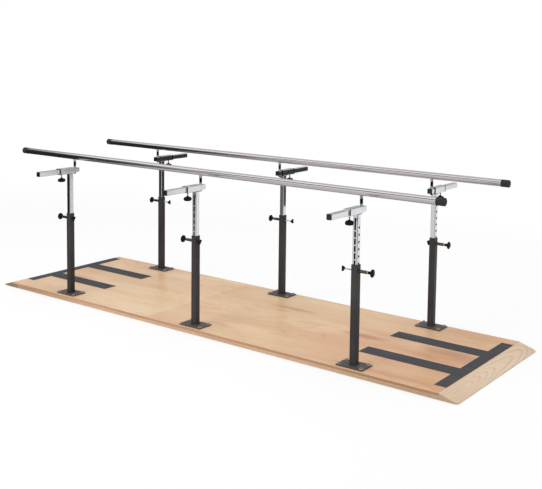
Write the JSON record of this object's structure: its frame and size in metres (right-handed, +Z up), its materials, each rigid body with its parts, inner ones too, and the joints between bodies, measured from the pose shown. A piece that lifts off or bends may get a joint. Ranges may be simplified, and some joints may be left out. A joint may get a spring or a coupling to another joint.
{
  "type": "rehab walking parallel bars",
  "caption": "Walking parallel bars on a plywood platform with ramps, with chrome handrails on telescoping posts that adjust in height and width.",
  "frame": {"origin": "on the floor under the middle of the platform", "axes": "+X along the handrails, +Y across the walkway, +Z up"},
  "size_m": [3.292, 1.318, 0.9204],
  "materials": {
    "deck_sheet": "clear satin lacquer over maple veneer",
    "plywood_core": "lacquered plywood edge",
    "ramp_wood": "clear satin lacquer on pale solid wood",
    "grip_tape": "coarse grit",
    "post_coat": "fine textured powder coat",
    "bright_tube": "bright plated, brushed along the tube",
    "rail_chrome": "mirror polished",
    "cap_rubber": "smooth moulded",
    "black_knob": "moulded, glossy",
    "zinc_steel": "bright zinc plated",
    "spring_steel": "drawn wire",
    "brass": "turned"
  },
  "bodies": {
    "platform": {"deck_panel": "deck_sheet", "base_panel": "plywood_core", "ramp_left": "ramp_wood", "ramp_right": "ramp_wood", "grip_tape_left": "grip_tape", "grip_tape_right": "grip_tape", "post_near_left": "post_coat", "lock_spring_near_left": "spring_steel", "post_near_middle": "post_coat", "lock_spring_near_middle": "spring_steel", "post_near_right": "post_coat", "lock_spring_near_right": "spring_steel", "post_far_left": "post_coat", "lock_spring_far_left": "spring_steel", "post_far_middle": "post_coat", "lock_spring_far_middle": "spring_steel", "post_far_right": "post_coat", "lock_spring_far_right": "spring_steel"},
    "mast_near_left": {"mast_near_left": "bright_tube"},
    "arm_near_left": {"arm_near_left": "bright_tube", "rail_stud_near_left": "zinc_steel"},
    "lock_pin_near_left": {"lock_pin_near_left": "black_knob"},
    "height_clamp_near_left": {"height_clamp_near_left": "black_knob"},
    "width_knob_near_left": {"width_knob_near_left": "black_knob"},
    "mast_near_middle": {"mast_near_middle": "bright_tube"},
    "arm_near_middle": {"arm_near_middle": "bright_tube", "rail_stud_near_middle": "zinc_steel", "handrail_near": "rail_chrome", "rail_cap_near_left": "cap_rubber", "rail_cap_near_right": "cap_rubber"},
    "lock_pin_near_middle": {"lock_pin_near_middle": "black_knob"},
    "height_clamp_near_middle": {"height_clamp_near_middle": "black_knob"},
    "width_knob_near_middle": {"width_knob_near_middle": "black_knob"},
    "mast_near_right": {"mast_near_right": "bright_tube"},
    "arm_near_right": {"arm_near_right": "bright_tube", "rail_stud_near_right": "zinc_steel"},
    "lock_pin_near_right": {"lock_pin_near_right": "black_knob"},
    "height_clamp_near_right": {"height_clamp_near_right": "black_knob"},
    "width_knob_near_right": {"width_knob_near_right": "black_knob"},
    "mast_far_left": {"mast_far_left": "bright_tube"},
    "arm_far_left": {"arm_far_left": "bright_tube", "rail_stud_far_left": "zinc_steel"},
    "lock_pin_far_left": {"lock_pin_far_left": "black_knob"},
    "height_clamp_far_left": {"height_clamp_far_left": "black_knob"},
    "width_knob_far_left": {"width_knob_far_left": "black_knob"},
    "mast_far_middle": {"mast_far_middle": "bright_tube"},
    "arm_far_middle": {"arm_far_middle": "bright_tube", "rail_stud_far_middle": "zinc_steel", "handrail_far": "rail_chrome", "rail_cap_far_left": "cap_rubber", "rail_cap_far_right": "cap_rubber"},
    "lock_pin_far_middle": {"lock_pin_far_middle": "black_knob"},
    "height_clamp_far_middle": {"height_clamp_far_middle": "black_knob"},
    "width_knob_far_middle": {"width_knob_far_middle": "black_knob"},
    "mast_far_right": {"mast_far_right": "bright_tube"},
    "arm_far_right": {"arm_far_right": "bright_tube", "rail_stud_far_right": "zinc_steel"},
    "lock_pin_far_right": {"lock_pin_far_right": "black_knob"},
    "height_clamp_far_right": {"height_clamp_far_right": "black_knob"},
    "width_knob_far_right": {"width_knob_far_right": "black_knob"}
  },
  "joints": [
    {"name": "height_near_left", "type": "slide", "parent": "platform", "child": "mast_near_left", "axis": [0, 0, 1], "range_m": [-0.216, 0.18]},
    {"name": "width_near_left", "type": "slide", "parent": "mast_near_left", "child": "arm_near_left", "axis": [0, 1, 0], "range_m": [0, 0.15]},
    {"name": "pull_pin_near_left", "type": "slide", "parent": "platform", "child": "lock_pin_near_left", "axis": [1, 0, 0], "range_m": [0, 0.007], "stiffness_N_per_m": 1200, "springref_m": 0.015, "deforming": ["lock_spring_near_left"]},
    {"name": "height_clamp_turn_near_left", "type": "hinge", "parent": "platform", "child": "height_clamp_near_left", "pos_m": [-1.052, -0.41, 0.5141], "axis": [1, 0, 0], "range_deg": [0, 360]},
    {"name": "width_knob_turn_near_left", "type": "hinge", "parent": "mast_near_left", "child": "width_knob_near_left", "pos_m": [-1.052, -0.478, 0.7636], "axis": [0, 0, -1], "range_deg": [0, 360]},
    {"name": "height_near_middle", "type": "slide", "parent": "platform", "child": "mast_near_middle", "axis": [0, 0, 1], "range_m": [-0.216, 0.18]},
    {"name": "width_near_middle", "type": "slide", "parent": "mast_near_middle", "child": "arm_near_middle", "axis": [0, 1, 0], "range_m": [0, 0.15]},
    {"name": "pull_pin_near_middle", "type": "slide", "parent": "platform", "child": "lock_pin_near_middle", "axis": [1, 0, 0], "range_m": [0, 0.007], "stiffness_N_per_m": 1200, "springref_m": 0.015, "deforming": ["lock_spring_near_middle"]},
    {"name": "height_clamp_turn_near_middle", "type": "hinge", "parent": "platform", "child": "height_clamp_near_middle", "pos_m": [0, -0.41, 0.5141], "axis": [1, 0, 0], "range_deg": [0, 360]},
    {"name": "width_knob_turn_near_middle", "type": "hinge", "parent": "mast_near_middle", "child": "width_knob_near_middle", "pos_m": [0, -0.478, 0.7636], "axis": [0, 0, -1], "range_deg": [0, 360]},
    {"name": "height_near_right", "type": "slide", "parent": "platform", "child": "mast_near_right", "axis": [0, 0, 1], "range_m": [-0.216, 0.18]},
    {"name": "width_near_right", "type": "slide", "parent": "mast_near_right", "child": "arm_near_right", "axis": [0, 1, 0], "range_m": [0, 0.15]},
    {"name": "pull_pin_near_right", "type": "slide", "parent": "platform", "child": "lock_pin_near_right", "axis": [-1, 0, 0], "range_m": [0, 0.007], "stiffness_N_per_m": 1200, "springref_m": 0.015, "deforming": ["lock_spring_near_right"]},
    {"name": "height_clamp_turn_near_right", "type": "hinge", "parent": "platform", "child": "height_clamp_near_right", "pos_m": [1.052, -0.41, 0.5141], "axis": [-1, 0, 0], "range_deg": [0, 360]},
    {"name": "width_knob_turn_near_right", "type": "hinge", "parent": "mast_near_right", "child": "width_knob_near_right", "pos_m": [1.052, -0.478, 0.7636], "axis": [0, 0, -1], "range_deg": [0, 360]},
    {"name": "height_far_left", "type": "slide", "parent": "platform", "child": "mast_far_left", "axis": [0, 0, 1], "range_m": [-0.216, 0.18]},
    {"name": "width_far_left", "type": "slide", "parent": "mast_far_left", "child": "arm_far_left", "axis": [0, -1, 0], "range_m": [0, 0.15]},
    {"name": "pull_pin_far_left", "type": "slide", "parent": "platform", "child": "lock_pin_far_left", "axis": [1, 0, 0], "range_m": [0, 0.007], "stiffness_N_per_m": 1200, "springref_m": 0.015, "deforming": ["lock_spring_far_left"]},
    {"name": "height_clamp_turn_far_left", "type": "hinge", "parent": "platform", "child": "height_clamp_far_left", "pos_m": [-1.052, 0.41, 0.5141], "axis": [1, 0, 0], "range_deg": [0, 360]},
    {"name": "width_knob_turn_far_left", "type": "hinge", "parent": "mast_far_left", "child": "width_knob_far_left", "pos_m": [-1.052, 0.478, 0.7636], "axis": [0, 0, -1], "range_deg": [0, 360]},
    {"name": "height_far_middle", "type": "slide", "parent": "platform", "child": "mast_far_middle", "axis": [0, 0, 1], "range_m": [-0.216, 0.18]},
    {"name": "width_far_middle", "type": "slide", "parent": "mast_far_middle", "child": "arm_far_middle", "axis": [0, -1, 0], "range_m": [0, 0.15]},
    {"name": "pull_pin_far_middle", "type": "slide", "parent": "platform", "child": "lock_pin_far_middle", "axis": [1, 0, 0], "range_m": [0, 0.007], "stiffness_N_per_m": 1200, "springref_m": 0.015, "deforming": ["lock_spring_far_middle"]},
    {"name": "height_clamp_turn_far_middle", "type": "hinge", "parent": "platform", "child": "height_clamp_far_middle", "pos_m": [0, 0.41, 0.5141], "axis": [1, 0, 0], "range_deg": [0, 360]},
    {"name": "width_knob_turn_far_middle", "type": "hinge", "parent": "mast_far_middle", "child": "width_knob_far_middle", "pos_m": [0, 0.478, 0.7636], "axis": [0, 0, -1], "range_deg": [0, 360]},
    {"name": "height_far_right", "type": "slide", "parent": "platform", "child": "mast_far_right", "axis": [0, 0, 1], "range_m": [-0.216, 0.18]},
    {"name": "width_far_right", "type": "slide", "parent": "mast_far_right", "child": "arm_far_right", "axis": [0, -1, 0], "range_m": [0, 0.15]},
    {"name": "pull_pin_far_right", "type": "slide", "parent": "platform", "child": "lock_pin_far_right", "axis": [-1, 0, 0], "range_m": [0, 0.007], "stiffness_N_per_m": 1200, "springref_m": 0.015, "deforming": ["lock_spring_far_right"]},
    {"name": "height_clamp_turn_far_right", "type": "hinge", "parent": "platform", "child": "height_clamp_far_right", "pos_m": [1.052, 0.41, 0.5141], "axis": [-1, 0, 0], "range_deg": [0, 360]},
    {"name": "width_knob_turn_far_right", "type": "hinge", "parent": "mast_far_right", "child": "width_knob_far_right", "pos_m": [1.052, 0.478, 0.7636], "axis": [0, 0, -1], "range_deg": [0, 360]}
  ],
  "couplings": [
    {"joint": "height_near_left", "follows": "height_near_middle", "ratio": 1},
    {"joint": "width_near_left", "follows": "width_near_middle", "ratio": 1},
    {"joint": "height_near_right", "follows": "height_near_middle", "ratio": 1},
    {"joint": "width_near_right", "follows": "width_near_middle", "ratio": 1},
    {"joint": "height_far_left", "follows": "height_far_middle", "ratio": 1},
    {"joint": "width_far_left", "follows": "width_far_middle", "ratio": 1},
    {"joint": "height_far_right", "follows": "height_far_middle", "ratio": 1},
    {"joint": "width_far_right", "follows": "width_far_middle", "ratio": 1}
  ]
}
